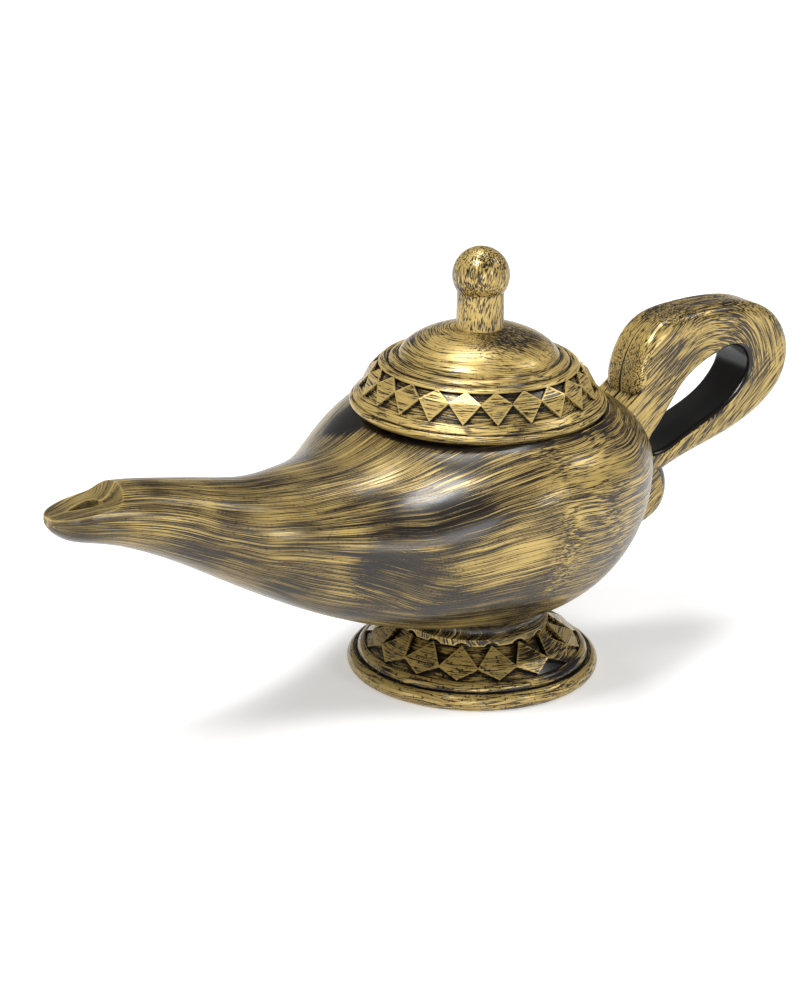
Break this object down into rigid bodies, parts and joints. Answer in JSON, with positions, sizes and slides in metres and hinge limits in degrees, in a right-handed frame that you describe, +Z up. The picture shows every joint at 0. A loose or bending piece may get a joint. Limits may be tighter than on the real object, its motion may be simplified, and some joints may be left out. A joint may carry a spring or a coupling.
{
  "type": "genie oil lamp",
  "caption": "Genie oil lamp in gold-brushed black plastic: bellied bowl with a long spout, looped handle, flared foot and a lift-off domed lid with a ball knob.",
  "frame": {"origin": "on the table, under the middle of the whole length from the spout's tip to the handle; the axis of bowl, lid and foot stands at X = 14 mm", "axes": "+Z up along the lid's axis, +X towards the handle, the spout points along -X, the moulding seam lies in the plane Y = 0"},
  "size_m": [0.2511, 0.1, 0.1253],
  "materials": {
    "brushed_plastic": "black plastic, dry-brushed with gold paint, semi-gloss"
  },
  "bodies": {
    "lamp": {"bowl_near": "brushed_plastic", "bowl_far": "brushed_plastic", "foot_near": "brushed_plastic", "foot_far": "brushed_plastic", "handle_near": "brushed_plastic", "handle_far": "brushed_plastic"},
    "lid": {"lid": "brushed_plastic", "knob": "brushed_plastic"}
  },
  "joints": [
    {"name": "lid_lift", "type": "slide", "parent": "lamp", "child": "lid", "axis": [0, 0, 1], "range_m": [0, 0.03]}
  ]
}
